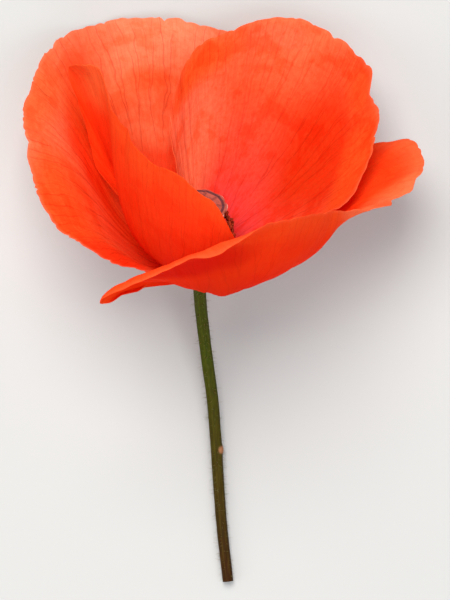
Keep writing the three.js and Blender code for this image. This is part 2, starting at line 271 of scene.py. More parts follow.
class Shader:
    """A material's node tree with short calls that add a node and give back its output."""

    def __init__(self, name):
        self.material = bpy.data.materials.new(name)
        self.material.use_nodes = True
        self.tree = self.material.node_tree
        self.tree.nodes.clear()

    def add(self, kind, inputs=(), output=0, **settings):
        """A node of a kind: its settings, its inputs as values or as other nodes' outputs, and one output."""
        node = self.tree.nodes.new(kind)
        for key, value in settings.items():
            setattr(node, key, value)
        for key, value in dict(inputs).items():
            if isinstance(value, bpy.types.NodeSocket):
                self.tree.links.new(value, node.inputs[key])
            else:
                node.inputs[key].default_value = value
        return node.outputs[output]

    def sum(self, operation, a, b=0.0, c=0.0):
        """A Math node."""
        return self.add("ShaderNodeMath", {0: a, 1: b, 2: c}, operation=operation)

    def ease(self, low, high, value):
        """0 below the low value, 1 above the high one, smooth between; a low above high runs downwards."""
        way = {"From Min": low, "From Max": high, "Value": value}
        if low > high:
            way = {"From Min": high, "From Max": low, "To Min": 1.0, "To Max": 0.0, "Value": value}
        return self.add("ShaderNodeMapRange", way, interpolation_type="SMOOTHSTEP")

    def join(self, x, y, z=0.0):
        """A vector from three numbers."""
        return self.add("ShaderNodeCombineXYZ", {0: x, 1: y, 2: z})

    def noise(self, vector, scale, detail=2.0, roughness=0.5):
        """Noise from 0 to 1 about a half."""
        inputs = {"Vector": vector, "Scale": scale, "Detail": detail, "Roughness": roughness}
        return self.add("ShaderNodeTexNoise", inputs)

    def fan(self, u, v, across, along, seed, detail=3.0, roughness=0.5):
        """Noise over a petal, stretched by how often it repeats across the ribs and along them."""
        place = self.join(self.sum("MULTIPLY", u, across), self.sum("MULTIPLY", v, along), seed)
        return self.noise(place, 1.0, detail, roughness)

    def tint(self, colour, other, value, low, high, share=1.0):
        """A colour turned by a share towards another where a value has passed from low to high."""
        return self.mix(self.sum("MULTIPLY", self.ease(low, high, value), share), colour, other)

    def mix(self, factor, a, b, blend="MIX"):
        """Two colours mixed by a factor."""
        inputs = {0: factor, 6: a, 7: b}
        return self.add("ShaderNodeMix", inputs, 2, data_type="RGBA", blend_type=blend)

    def ramp(self, factor, stops):
        """A colour ramp with a colour at each place."""
        node = self.tree.nodes.new("ShaderNodeValToRGB")
        self.tree.links.new(factor, node.inputs[0])
        elements = node.color_ramp.elements
        while len(elements) < len(stops):
            elements.new(0.5)
        for element, (place, colour) in zip(elements, stops):
            element.position = place
            element.color = (*colour, 1.0)
        return node.outputs[0]

    def finish(self, shader):
        """Links the last shader to the material's output."""
        self.tree.links.new(shader, self.tree.nodes.new("ShaderNodeOutputMaterial").inputs["Surface"])
        return self.material


def rgba(colour):
    """A colour of three numbers with its alpha of one."""
    return (*colour, 1.0)


# Petals ---------------------------------------------------------------------------------------------------

# How each petal's finish and edge differ. Ragged is the depth of its random notches, the next two numbers are
# how strong the painted highlight along its rim is and the rim share where that stops, veins and patches how
# strong those are, and soften how far its ribs are blurred into each other, in mm. Colours run from claw to
# rim;
# the inner left and outer right petals run deeper and darker than the other two, partly as their own tone and
# partly as painted shade, since they are seen from their shaded outer faces. A tint has its middle's rim
# share and rib share, how its rim share leans with the rib share, its two half widths and its colour; the
# tints marked below paint shade or highlights. A roll has the rim shares where it starts and ends, its width
# and how far it turns outwards. A nick has its rim share, its depth and its half width, and a depth below
# zero stands out.
PETAL_LOOKS = {
    "petal_outer_left": {
        "seed": 11, "ragged": 1.0, "rim_highlight": 0.35, "rim_highlight_end": 1.1,
        "veins": 0.8, "patches": 0.8, "soften": 0.0,
        "claw": (0.95, 0.018, 0.006), "low": (0.94, 0.085, 0.024), "high": (0.96, 0.190, 0.065),
        "rim": (0.97, 0.320, 0.160),
        "tints_and_painted_light": (
            # Painted shade: deeper red down the valley where the inner left petal's edge lies on this petal.
            (0.62, 0.50, -0.33, 0.10, 0.50, (0.97, 0.086, 0.014)),
            (0.80, 0.90, 0.0, 0.13, 0.30, (0.93, 0.110, 0.020)),
            (0.60, 0.97, 0.0, 0.08, 0.16, (0.96, 0.190, 0.055)),
            (0.90, 0.90, 0.0, 0.06, 0.30, (0.90, 0.055, 0.010)),
            (0.37, 0.59, 0.0, 0.07, 0.12, (0.97, 0.215, 0.085)),
            (0.375, 0.76, 0.0, 0.05, 0.05, (0.96, 0.150, 0.042)),
        ),
        "rolls": (),
        "nicks": ((0.70, 0.5, 2.0), (0.455, 0.35, 0.7), (0.52, 0.4, 0.8)),
    },
    "petal_inner_right": {
        "seed": 23, "ragged": 0.65, "rim_highlight": 0.2, "rim_highlight_end": 0.64,
        "veins": 0.62, "patches": 1.0, "soften": 0.0,
        "claw": (0.93, 0.055, 0.078), "low": (0.95, 0.088, 0.056), "high": (0.96, 0.125, 0.040),
        "rim": (0.96, 0.200, 0.075),
        "tints_and_painted_light": (
            (0.36, 0.66, 0.0, 0.17, 0.36, (0.86, 0.050, 0.008)),
            (0.79, 0.60, 0.0, 0.15, 0.44, (0.97, 0.240, 0.110)),
            (0.72, 0.93, 0.0, 0.09, 0.10, (0.95, 0.150, 0.028)),
            (0.24, 0.90, 0.0, 0.12, 0.14, (0.95, 0.115, 0.018)),
            (0.57, 0.93, 0.0, 0.06, 0.06, (0.95, 0.190, 0.080)),
            (0.38, 0.93, 0.0, 0.06, 0.09, (0.93, 0.100, 0.020)),
        ),
        "rolls": (),
        "nicks": (
            (0.455, 0.75, 5.0), (0.483, 0.6, 0.9), (0.437, 0.7, 1.2), (0.392, -1.5, 2.0), (0.366, 0.8, 1.6),
            (0.32, -0.4, 3.0),
        ),
    },
    "petal_inner_left": {
        "seed": 37, "ragged": 0.35, "rim_highlight": 0.0, "rim_highlight_end": 1.1,
        "veins": 0.45, "patches": 0.6, "soften": 4.0,
        # Deeper ramp, partly painted shade: this petal is seen from its shaded outer face.
        "claw": (0.80, 0.014, 0.003), "low": (0.93, 0.036, 0.005), "high": (0.95, 0.060, 0.010),
        "rim": (0.96, 0.098, 0.016),
        "tints_and_painted_light": (
            # Painted highlight: paler orange on the rounded fold at the top of the blade.
            (0.37, 0.96, 0.0, 0.10, 0.15, (0.96, 0.170, 0.045)),
            (0.22, 0.80, 0.0, 0.12, 0.50, (0.96, 0.062, 0.008)),
        ),
        "rolls": ((0.27, 0.42, 2.6, 60),),
        "nicks": (
            (0.475, 1.6, 3.0), (0.565, -0.8, 2.5), (0.655, 0.5, 2.0), (0.735, 0.5, 3.0), (0.768, -1.3, 3.5),
        ),
    },
    "petal_outer_right": {
        "seed": 53, "ragged": 0.5, "rim_highlight": 0.1, "rim_highlight_end": 1.1,
        "veins": 0.3, "patches": 0.5, "soften": 0.0,
        # Deeper ramp, partly painted shade: this petal is seen from its shaded outer face.
        "claw": (0.70, 0.010, 0.002), "low": (0.88, 0.026, 0.003), "high": (0.93, 0.048, 0.005),
        "rim": (0.95, 0.095, 0.014),
        "tints_and_painted_light": (
            # Painted highlight: paler over the lobe's turned-over rim, which faces the light.
            (0.70, 1.0, 0.0, 0.14, 0.16, (0.96, 0.190, 0.060)),
            # Painted shadow: deep red under the rolled rim.
            (0.29, 0.80, 0.0, 0.10, 0.13, (0.80, 0.014, 0.002)),
            # Painted highlight: a paler band along the crest of the rolled rim.
            (0.31, 1.0, 0.0, 0.12, 0.06, (0.96, 0.120, 0.026)),
            # Painted light: a lighter red that lifts the shade in the lobe's hollow.
            (0.75, 0.76, 0.0, 0.09, 0.20, (0.96, 0.085, 0.013)),
            # Painted highlight: a pale band along the lobe's rolled-out rim.
            (0.645, 1.0, 0.0, 0.09, 0.09, (0.96, 0.220, 0.080)),
        ),
        "rolls": ((0.15, 0.37, 2.0, 105), (0.29, 0.42, 3.6, 115)),
        "nicks": (
            (0.30, -0.6, 1.5), (0.335, 0.4, 1.2),
            (0.588, -1.0, 2.5), (0.622, 0.8, 1.1), (0.643, -0.9, 1.5), (0.664, 0.7, 1.0), (0.687, -1.0, 1.6),
            (0.710, 0.4, 1.0), (0.731, 0.3, 2.6), (0.758, 0.3, 0.9),
        ),
    },
}


def petal_ribs(name, u):
    """The four control points of each rib's cubic curve, at shares u of the rim's length.

    The rim runs smoothly through the ribs' own rim points. A rib leaves the claw towards its lean, turned
    part of the way from the claw's azimuth to the rim's, and arrives at the rim along its second lean.
    """
    (radius, height, half_span), middle, ribs = PETALS[name]
    ribs = np.asarray(ribs, float)
    rim = around(ribs[:, 0], ribs[:, 1], ribs[:, 2])
    knots = np.concatenate([[0], np.cumsum(np.linalg.norm(np.diff(rim, axis=0), axis=1))])
    rows = np.column_stack([rim, ribs[:, 0], ribs[:, 3:]])
    at = smooth_through(knots, rows, u * knots[-1])
    rim, azimuth, lean_claw, lean_rim, belly = at[:, :3], at[:, 3], at[:, 4], at[:, 5], at[:, 6:] / 100
    claw_azimuth = middle + half_span * (2 * u - 1)
    claw = around(claw_azimuth, radius, np.full_like(u, height))
    chord = np.linalg.norm(rim - claw, axis=1, keepdims=True)
    leaving = direction(lean_claw, claw_azimuth + CLAW_TURN * (azimuth - claw_azimuth))
    arriving = direction(lean_rim, azimuth)
    controls = (claw, claw + chord * belly * leaving, rim - chord * RIM_HANDLE * arriving, rim)
    return controls, chord[:, 0], knots[-1]


def rib_points(controls, v):
    """Points on cubic curves at shares v: each control point weighted by its Bernstein polynomial."""
    a, b, c, d = (control[None] for control in controls)
    v = v[..., None]
    w = 1 - v
    return w**3 * a + 3 * w**2 * v * b + 3 * w * v**2 * c + v**3 * d


def rim_cut(name, u, length):
    """How far the rim draws back, in mm: shallow scallops between random notches, and the petal's own nicks.

    Each notch takes its depth times a bell of its distance from the notch's place along the rim.
    """
    look = PETAL_LOOKS[name]
    draws = np.random.default_rng(look["seed"])
    steps = draws.uniform(1.0, 4.6, int(length / 2))
    places = np.cumsum(steps)
    places = places[places < length]
    depths = draws.uniform(0.12, 0.8, len(places)) * draws.uniform(0.5, 1.2, len(places))
    widths = draws.uniform(0.25, 0.7, len(places))
    away = (u[:, None] * length - places) / widths
    notches = (depths * np.exp(-np.abs(away) ** 1.3)).max(axis=1)
    own = sum(depth * np.exp(-(((u - place) * length / width) ** 2)) for place, depth, width in look["nicks"])
    uneven = 0.22 * grain(u * length / 2.3, 0, look["seed"] + 1)
    uneven = uneven + 0.25 * grain(u * length / 6, 5, look["seed"])
    return look["ragged"] * (notches + uneven) + own


def petal_relief(name, u, v, length, reach):
    """Height of the blade over its smooth form, in mm, towards the flower's axis.

    Broad swells, fan pleats whose phase is warped, short cross wrinkles that break the pleats, and a ripple
    that grows towards the rim, all from smooth random grain over the rim share u and the rib share v.
    """
    seed = PETAL_LOOKS[name]["seed"]
    across, along = u * length, v * reach
    warp = 0.25 * grain(across / 9, along / 14, seed + 2)
    swells = 0.30 * grain(across / 13, along / 13, seed + 3) * ease(0.1, 0.5, v)
    pleats = 0.10 * grain(across / 1.9 + warp, along / 16, seed + 4)
    pleats = pleats + 0.045 * grain(across / 0.95 + warp, along / 11, seed + 5)
    wrinkles = 0.06 * grain(across / 4.5, along / 2.2 + 1.5 * warp, seed + 6) * ease(0.3, 0.8, v)
    ripple = 0.45 * grain(across / 4.2, along / 30, seed + 7) * v**7
    return swells + (pleats + wrinkles) * ease(0.05, 0.35, v) + ripple


def petal_sheet(name, columns, rows):
    """The middle of the blade as points (rows, columns, 3) in mm, its normals, and its marks.

    A rib is followed to a share v, past or short of 1 by the rim's waves and cuts. Short of the rim, points
    are blurred across the ribs by a bell of the distance. The relief moves a point along the normal. A roll
    bends the last few mm of a rib along an arc, so they turn outwards by an angle in step with their length.
    """
    look = PETAL_LOOKS[name]
    middle = PETALS[name][1]
    u = np.linspace(0, 1, columns)
    v = (1 - (1 - np.linspace(0, 1, rows)) ** 1.15)[:, None]
    controls, chord, length = petal_ribs(name, u)
    notch = RIM_NOTCH * (0.6 * swing(4 * u, middle) + 0.4 * swing(7 * u, 2 * middle))
    cut = rim_cut(name, u, length) * ease(0, 0.03, u) * ease(1, 0.97, u)
    reach = 1.12 * chord
    near = np.exp(-(1 - v) * reach / 3.0)
    points = rib_points(controls, v * (1 + notch * v**6 / chord) - near * cut / reach)
    points[..., 2] += RIM_WAVE * swing(6 * u, 3 * middle) * np.sin(np.pi * u) * v**4
    blur = (look["soften"] / length * ease(0, 0.15, u) * ease(1, 0.85, u) + 1e-4)[:, None]
    near_by = np.exp(-(((u[:, None] - u) / blur) ** 2))
    smooth = np.einsum("ij,rjk->rik", near_by / near_by.sum(axis=1, keepdims=True), points)
    points = points + (smooth - points) * (1 - v**6)[..., None]
    normal = unit(np.cross(np.gradient(points, axis=0), np.gradient(points, axis=1)))
    points = points + normal * petal_relief(name, u[None], v, length, reach)[..., None]
    for start, end, width, angle in look["rolls"]:
        bend = np.radians(angle) / width * ease(start, start + 0.07, u) * ease(end, end - 0.07, u)
        past = np.maximum(width - (1 - v) * reach, 0.0)
        outwards = past**2 * bend / 2 * np.sinc(past * bend / (2 * np.pi)) ** 2
        back = past * (1 - np.sinc(past * bend / np.pi)) - 0.95 * outwards
        points = points - normal * outwards[..., None] - unit(np.gradient(points, axis=0)) * back[..., None]
    down, right = np.gradient(points, axis=0), np.gradient(points, axis=1)
    normal = unit(np.cross(down, right))
    spread = np.linalg.norm(right, axis=-1) * (columns - 1)
    return points, normal, u, v, spread


def petal_shell(name, thickness):
    """Two faces half the blade's thickness off its middle, closed round the edge, in the flower's frame.

    The blade thins towards the rim with v cubed, and where it would dip below the floor it is lifted clear.
    """
    columns, rows = PETAL_GRID
    points, normal, u, v, spread = petal_sheet(name, columns, rows)
    half = 0.5 * thickness * (1 - 0.45 * v**3)[..., None]
    sunk = np.maximum(half + FLOOR_GAP - placed(points, HEAD)[..., 2:] / MM, 0.0)
    points = points + sunk * HEAD[2]
    both = np.concatenate([(points + half * normal).reshape(-1, 3), (points - half * normal).reshape(-1, 3)])
    inner = grid_faces(rows, columns)
    count = rows * columns
    outer = inner[:, ::-1] + count
    number = np.arange(count).reshape(rows, columns)
    loop = np.concatenate([number[0, :-1], number[:-1, -1], number[-1, :0:-1], number[:0:-1, 0]])
    following = np.roll(loop, -1)
    edge = np.stack([loop, following, following + count, loop + count], axis=-1)
    uv = np.stack(np.broadcast_arrays(u[None], v), axis=-1).reshape(-1, 2)
    marks = {
        "spread": np.tile(spread.reshape(-1), 2),
        "inside": np.repeat([1.0, 0.0], count),
    }
    return both, [inner, outer, edge], np.tile(uv, (2, 1)), marks


def vein_lines(s, u, v, spread, count, wander, seed):
    """Veins that fork three times on their way from claw to rim, as 1 on a vein and 0 away from it.

    The rim share is cut into cells with one vein each. Folding the distance from it about a gap that opens
    with v turns one vein into two, and the last distance is measured in millimetres by the local spread.
    """
    moved = s.fan(u, v, 9.0, 2.2, seed, 3.0, 0.55)
    shifted = s.sum("MULTIPLY_ADD", s.sum("SUBTRACT", moved, 0.5), wander, u)
    kinks = s.fan(u, v, 45.0, 16.0, seed, 2.0)
    shifted = s.sum("MULTIPLY_ADD", s.sum("SUBTRACT", kinks, 0.5), 0.007, shifted)
    cells = s.sum("FRACT", s.sum("MULTIPLY", shifted, count))
    away = s.sum("ABSOLUTE", s.sum("SUBTRACT", cells, 0.5))
    ragged = s.noise(s.join(s.sum("MULTIPLY", u, count * 0.8), seed), 1.0, 1.0)
    early = s.sum("MULTIPLY_ADD", s.sum("SUBTRACT", ragged, 0.5), 0.35, v)
    for opens, full, gap in ((0.04, 0.30, 0.25), (0.28, 0.62, 0.125), (0.52, 0.98, 0.0625)):
        fold = s.sum("MULTIPLY", s.ease(opens, full, early), gap)
        away = s.sum("ABSOLUTE", s.sum("SUBTRACT", away, fold))
    return s.sum("MULTIPLY", away, s.sum("DIVIDE", spread, count))


def petal_material(name, settings):
    """Thin, translucent petal.

    Colour runs from claw to rim under soft tints, some of them painted shade and painted highlights, with
    blotches that are partly painted shade of the crepe's wrinkles, streaks, specks, a crinkle, forked veins
    and a painted highlight along the rim over it.
    """
    look = PETAL_LOOKS[name]
    seed = float(look["seed"])
    s = Shader(name)
    place = s.add("ShaderNodeUVMap", uv_map="surface")
    split = s.tree.nodes.new("ShaderNodeSeparateXYZ")
    s.tree.links.new(place, split.inputs[0])
    u, v = split.outputs[0], split.outputs[1]
    spread = s.add("ShaderNodeAttribute", output=2, attribute_name="spread")
    solid = s.add("ShaderNodeTexCoord", output=3)
    broad = s.fan(u, v, 5.0, 3.0, seed, 3.0)
    uneven = s.sum("MULTIPLY_ADD", s.sum("SUBTRACT", broad, 0.5), 0.4, v)
    colour = s.ramp(uneven, (
        (0.02, look["claw"]), (0.33, look["low"]), (0.74, look["high"]), (0.97, look["rim"]),
    ))
    # Tints laid over the ramp; those marked in the table paint shade and highlights.
    for middle_u, middle_v, slope, half_u, half_v, tint in look["tints_and_painted_light"]:
        lean = s.sum("MULTIPLY_ADD", s.sum("SUBTRACT", v, middle_v), slope, middle_u)
        beside = s.sum("POWER", s.sum("DIVIDE", s.sum("SUBTRACT", u, lean), half_u), 2.0)
        beyond = s.sum("POWER", s.sum("DIVIDE", s.sum("SUBTRACT", v, middle_v), half_v), 2.0)
        away = s.sum("MULTIPLY_ADD", s.sum("SUBTRACT", broad, 0.5), 0.8, s.sum("ADD", beside, beyond))
        colour = s.mix(s.ease(1.5, 0.0, away), colour, rgba(tint))
    deeper = s.mix(1.0, colour, rgba(settings.streak_tint), "MULTIPLY")
    # Broad deeper patches: partly uneven tone, partly painted shade of the crepe's wrinkles.
    patch = s.fan(u, v, 13.0, 7.0, seed + 5, 5.0, 0.6)
    colour = s.tint(colour, deeper, patch, 0.50, 0.60, 0.75 * look["patches"])
    streaks = s.fan(u, v, 150.0, 5.0, seed + 3, 4.0, 0.65)
    colour = s.tint(colour, deeper, streaks, 0.45, 0.70, 0.35)
    specks = s.fan(u, v, 75.0, 34.0, seed + 13, 3.0, 0.6)
    colour = s.tint(colour, deeper, specks, 0.54, 0.68, 0.5 * look["patches"])
    crinkle = s.fan(u, v, 110.0, 40.0, seed + 15, 3.0, 0.6)
    paler = s.mix(1.0, colour, rgba((1.0, 0.80, 0.75)), "MULTIPLY")
    colour = s.tint(colour, paler, crinkle, 0.58, 0.42, 0.7 * look["patches"])
    main = vein_lines(s, u, v, spread, 9.0, 0.05, seed + 7)
    fine = vein_lines(s, u, v, spread, 21.0, 0.03, seed + 11)
    faint = s.fan(u, v, 26.0, 3.5, seed + 9, 2.0)
    strong = s.sum("MULTIPLY", s.ease(0.17, 0.05, main), s.ease(0.32, 0.54, faint))
    weak = s.sum("MULTIPLY", s.ease(0.12, 0.03, fine), 0.30)
    vein = s.sum("MULTIPLY", s.sum("MAXIMUM", strong, weak), settings.vein_strength * look["veins"])
    colour = s.mix(vein, colour, s.mix(1.0, colour, rgba(settings.vein_tint), "MULTIPLY"))
    # Painted highlight: a pale line along the rim.
    rim_highlight = s.sum("MULTIPLY", s.ease(0.978, 0.998, v), look["rim_highlight"])
    rim_highlight = s.sum("MULTIPLY", rim_highlight, s.ease(look["rim_highlight_end"], look["rim_highlight_end"] - 0.06, u))
    colour = s.mix(rim_highlight, colour, rgba(settings.rim_highlight_colour))
    crepe = s.noise(solid, 900.0, 3.0, 0.6)
    height = s.sum("MULTIPLY_ADD", streaks, 0.7, s.sum("MULTIPLY", crepe, 0.5))
    height = s.sum("MULTIPLY_ADD", vein, -0.35, height)
    bump = s.add("ShaderNodeBump", {"Strength": 0.6, "Distance": 0.00016, "Height": height})
    face = s.add("ShaderNodeBsdfPrincipled", {
        "Base Color": colour, "Roughness": 0.65, "Specular IOR Level": 0.02,
        "Specular Tint": rgba((1.0, 0.45, 0.30)), "Normal": bump,
    })
    through = s.add("ShaderNodeBsdfTranslucent", {"Color": colour, "Normal": bump})
    return s.finish(s.add("ShaderNodeMixShader", {0: settings.translucency, 1: face, 2: through}))


class PoppyPetalSettings(bpy.types.PropertyGroup):
    """Sizes and colours of the four petals."""

    thickness: FloatProperty(
        name="Thickness", description="How thick a petal's blade is at its claw",
        default=0.00024, min=0.0001, max=0.0008, precision=5, subtype="DISTANCE", unit="LENGTH",
    )
    translucency: FloatProperty(
        name="Translucency", description="Share of the light that passes through the blade",
        default=0.42, min=0.0, max=1.0, subtype="FACTOR",
    )
    vein_strength: FloatProperty(
        name="Veins", description="How strongly the veins are coloured",
        default=0.55, min=0.0, max=1.0, subtype="FACTOR",
    )
    vein_tint: FloatVectorProperty(
        name="Vein", description="What the veins keep of the petal's colour", default=(0.62, 0.24, 0.30),
        size=3, min=0, max=1, subtype="COLOR",
    )
    # Streaks, and the broad patches that partly paint the crepe's shade, are multiplied by this colour.
    streak_tint: FloatVectorProperty(
        name="Streak", description="What streaks and blotches keep of the petal's colour",
        default=(0.97, 0.60, 0.42), size=3, min=0, max=1, subtype="COLOR",
    )
    # Colour of the painted highlight along the rim.
    rim_highlight_colour: FloatVectorProperty(
        name="Margin", description="Pale edge of the rim", default=(0.96, 0.26, 0.13), size=3, min=0, max=1,
        subtype="COLOR",
    )


class POPPY_OT_petals(bpy.types.Operator):
    """Add the four petals, each a thin closed blade with its own ribs, rim and finish"""

    bl_idname = "poppy.petals"
    bl_label = "Petals"

    def execute(self, context):
        settings = context.scene.poppy.petal
        for name in PETALS:
            points, faces, uv, marks = petal_shell(name, settings.thickness / MM)
            material = petal_material(name, settings)
            piece = name.replace("petal_", "") + "_petal"
            add_piece(piece, placed(points, HEAD), faces, material, name, uv, marks)
        return {"FINISHED"}


# Stem -----------------------------------------------------------------------------------------------------

# The torus that carries the petals swells out to meet their claws
TORUS = (
    (1.0, 1.7), (0.9, 2.3), (0.5, 2.6), (0.1, 2.58), (-0.35, 2.7), (-0.6, 3.45), (-0.95, 3.62),
    (-1.4, 3.3), (-2.0, 2.5), (-2.6, 1.85), (-3.1, 1.5),
)
SCAR_PLACE = 0.6
SCAR_SIDE = 20.0


def tubes(lines, radii, sides, start=(1.0, 0.0, 0.0)):
    """Closed tubes round lines: points on a ring are the centre plus a radius times two axes across the line.

    Lines are (tubes, rings, 3), radii (tubes, rings) or (tubes, rings, sides). The first axis is the start
    direction less its part along the line. A fan to a middle point closes each end.
    """
    lines, radii = np.asarray(lines, float), np.asarray(radii, float)
    tube_count, ring_count = lines.shape[:2]
    radii = radii if radii.ndim == 3 else radii[..., None]
    ahead = unit(np.gradient(lines, axis=1))
    first = np.broadcast_to(np.asarray(start, float), lines.shape)
    first = unit(first - np.sum(first * ahead, axis=-1, keepdims=True) * ahead)
    second = np.cross(ahead, first)
    angle = 2 * np.pi * np.arange(sides) / sides
    ring = np.cos(angle)[:, None] * first[:, :, None] + np.sin(angle)[:, None] * second[:, :, None]
    skin = (lines[:, :, None] + radii[..., None] * ring).reshape(tube_count, -1, 3)
    points = np.concatenate([skin, lines[:, :1], lines[:, -1:]], axis=1)
    each = points.shape[1]
    walls = grid_faces(ring_count, sides, True)[:, ::-1]
    hub = ring_count * sides
    caps = np.concatenate([
        cap_faces(np.arange(sides), hub, False), cap_faces(np.arange(hub - sides, hub), hub + 1, True),
    ])
    shift = each * np.arange(tube_count)[:, None, None]
    return points.reshape(-1, 3), [(walls + shift).reshape(-1, 4), (caps + shift).reshape(-1, 3)]


def per_tube(values, tube_count, ring_count, sides):
    """A value for each ring of each tube, spread to its points and to the two middles of its ends."""
    values = np.broadcast_to(values, (tube_count, ring_count))
    skin = np.repeat(values, sides, axis=1)
    return np.concatenate([skin, values[:, :1], values[:, -1:]], axis=1).reshape(-1)


def stem_line(count):
    """The stem's middle line, evenly spaced: a smooth curve through its points by their distance apart."""
    points = np.asarray(STEM_LINE, float)
    knots = np.concatenate([[0], np.cumsum(np.linalg.norm(np.diff(points, axis=0), axis=1))])
    return smooth_through(knots, points, np.linspace(0, knots[-1], count)), knots[-1]


def stem_tube(sides):
    """Torus and stem as one ridged tube in the lying frame, with its marks, such as each ring's share."""
    rows = np.asarray(TORUS, float)
    knots = np.concatenate([[0], np.cumsum(np.linalg.norm(np.diff(rows, axis=0), axis=1))])
    torus = smooth_through(knots, rows, np.linspace(0, knots[-1], 56))
    down = turn("X", AXIS_LEAN) @ np.array([0.0, 0.0, -1.0])
    line, length = stem_line(420)
    share = np.concatenate([np.zeros(len(torus)), np.linspace(0, 1, len(line))])
    slim = STEM_TOP_RADIUS + (STEM_CUT_RADIUS - STEM_TOP_RADIUS) * share[len(torus):]
    radius = np.concatenate([torus[:, 1], slim])[:, None]
    middle = np.concatenate([-torus[:, :1] * down, line])
    along = share[:, None] * length
    angle = np.arange(sides)[None] * 2 * np.pi / sides
    ridge = 0.5 + 0.5 * np.cos(7 * angle + 0.6 * grain(along / 9, 0, 71))
    uneven = grain(4 * np.cos(angle) + 9, along / 2.6 + 2 * np.sin(angle), 72)
    scar = np.exp(-((along / length - SCAR_PLACE) * length / 0.9) ** 2)
    scar = scar * ease(0.35, 1.0, np.cos(angle - np.radians(SCAR_SIDE)))
    stem_only = ease(0, 0.02, share)[:, None]
    skin = radius + stem_only * (0.05 * ridge - 0.03 + 0.035 * uneven + 0.30 * scar)
    points, faces = tubes(middle[None], skin[None], sides)
    marks = {
        "along": per_tube(share[None], 1, len(share), sides),
        "torus": per_tube(1 - ease(0, 0.015, share)[None], 1, len(share), sides),
        "scar": np.append((scar * stem_only).reshape(-1), [0.0, 0.0]),
        "ridge": np.append((ridge * stem_only).reshape(-1), [0.5, 0.5]),
    }
    return points, faces, marks


def bristle_tubes(count, length):
    """Tapering, slightly bowed hairs that stand out of the stem, each three-sided, in the lying frame.

    A hair starts just inside the skin at a random place and leans a little along the stem, and its line is
    a quadratic curve. A hair whose tip would reach the surface that the stem lies on is left out.
    """
    draws = np.random.default_rng(81)
    line, _ = stem_line(900)
    ahead = unit(np.gradient(line, axis=0))
    share = np.sort(draws.uniform(0.01, 0.995, count))
    at = (share * (len(line) - 1)).astype(int)
    angle = draws.uniform(0, 2 * np.pi, count)
    start = np.array([1.0, 0.0, 0.0])
    first = unit(start - (ahead[at] @ start)[:, None] * ahead[at])
    out = np.cos(angle)[:, None] * first + np.sin(angle)[:, None] * np.cross(ahead[at], first)
    root = line[at] + out * (STEM_TOP_RADIUS + (STEM_CUT_RADIUS - STEM_TOP_RADIUS) * share - 0.10)[:, None]
    tall = length * draws.uniform(0.45, 1.15, count)[:, None]
    lean = draws.normal(0.10, 0.16, (count, 1)) * ahead[at] + draws.normal(0, 0.12, (count, 3))
    tip = root + tall * unit(out + 1.6 * lean)
    bow = root + 0.55 * tall * unit(out + 0.5 * lean)
    clear = placed(tip, LYING)[:, 2] > 0.25 * MM
    root, bow, tip = root[clear], bow[clear], tip[clear]
    t = np.linspace(0, 1, 5)[None, :, None]
    hairs = (1 - t) ** 2 * root[:, None] + 2 * t * (1 - t) * bow[:, None] + t**2 * tip[:, None]
    thick = 0.04 * (1 - 0.82 * t[..., 0]) * np.ones((len(root), 1))
    return tubes(hairs, thick, 3, (0.31, 0.62, 0.72))


def stem_material(settings):
    """Green at the top and olive brown lower down, with streaks along it, dark flecks and paler ridges."""
    s = Shader("stem_skin")
    along = s.add("ShaderNodeAttribute", output=2, attribute_name="along")
    solid = s.add("ShaderNodeTexCoord", output=3)
    colour = s.ramp(along, (
        (0.0, settings.top_colour), (0.30, settings.middle_colour), (0.55, settings.low_colour),
        (1.0, settings.cut_colour),
    ))
    stretched = s.add("ShaderNodeMapping", {"Vector": solid, "Scale": (2600.0, 240.0, 2600.0)})
    streaks = s.noise(stretched, 1.0, 3.0, 0.6)
    lighter = s.mix(along, rgba((0.078, 0.100, 0.009)), rgba((0.070, 0.036, 0.006)))
    colour = s.tint(colour, lighter, streaks, 0.45, 0.70, 0.45)
    colour = s.tint(colour, rgba((0.022, 0.020, 0.004)), streaks, 0.50, 0.30, 0.35)
    flecks = s.noise(solid, 1500.0, 2.0, 0.6)
    colour = s.tint(colour, rgba((0.060, 0.022, 0.005)), flecks, 0.60, 0.72, 0.5)
    ridge = s.add("ShaderNodeAttribute", output=2, attribute_name="ridge")
    colour = s.tint(colour, lighter, ridge, 0.75, 1.0, 0.35)
    scar = s.add("ShaderNodeAttribute", output=2, attribute_name="scar")
    colour = s.mix(s.ease(0.2, 0.8, scar), colour, rgba((0.30, 0.13, 0.06)))
    torus = s.add("ShaderNodeAttribute", output=2, attribute_name="torus")
    colour = s.mix(torus, colour, rgba(settings.torus_colour))
    height = s.sum("MULTIPLY_ADD", flecks, 0.5, streaks)
    bump = s.add("ShaderNodeBump", {"Strength": 0.5, "Distance": 0.00012, "Height": height})
    return s.finish(s.add("ShaderNodeBsdfPrincipled", {
        "Base Color": colour, "Roughness": 0.5, "Specular IOR Level": 0.04,
        "Subsurface Weight": 0.06, "Subsurface Scale": 0.0006, "Normal": bump,
    }))


def bristle_material():
    """Stiff pale hairs, a little see-through, warmer where the grain says."""
    s = Shader("stem_bristle")
    solid = s.add("ShaderNodeTexCoord", output=3)
    mottle = s.noise(solid, 700.0, 2.0)
    colour = s.mix(s.ease(0.4, 0.6, mottle), rgba((0.22, 0.22, 0.08)), rgba((0.20, 0.12, 0.05)))
    hair = s.add("ShaderNodeBsdfPrincipled", {"Base Color": colour, "Roughness": 0.4})
    glow = s.add("ShaderNodeBsdfTranslucent", {"Color": colour})
    return s.finish(s.add("ShaderNodeMixShader", {0: 0.35, 1: hair, 2: glow}))


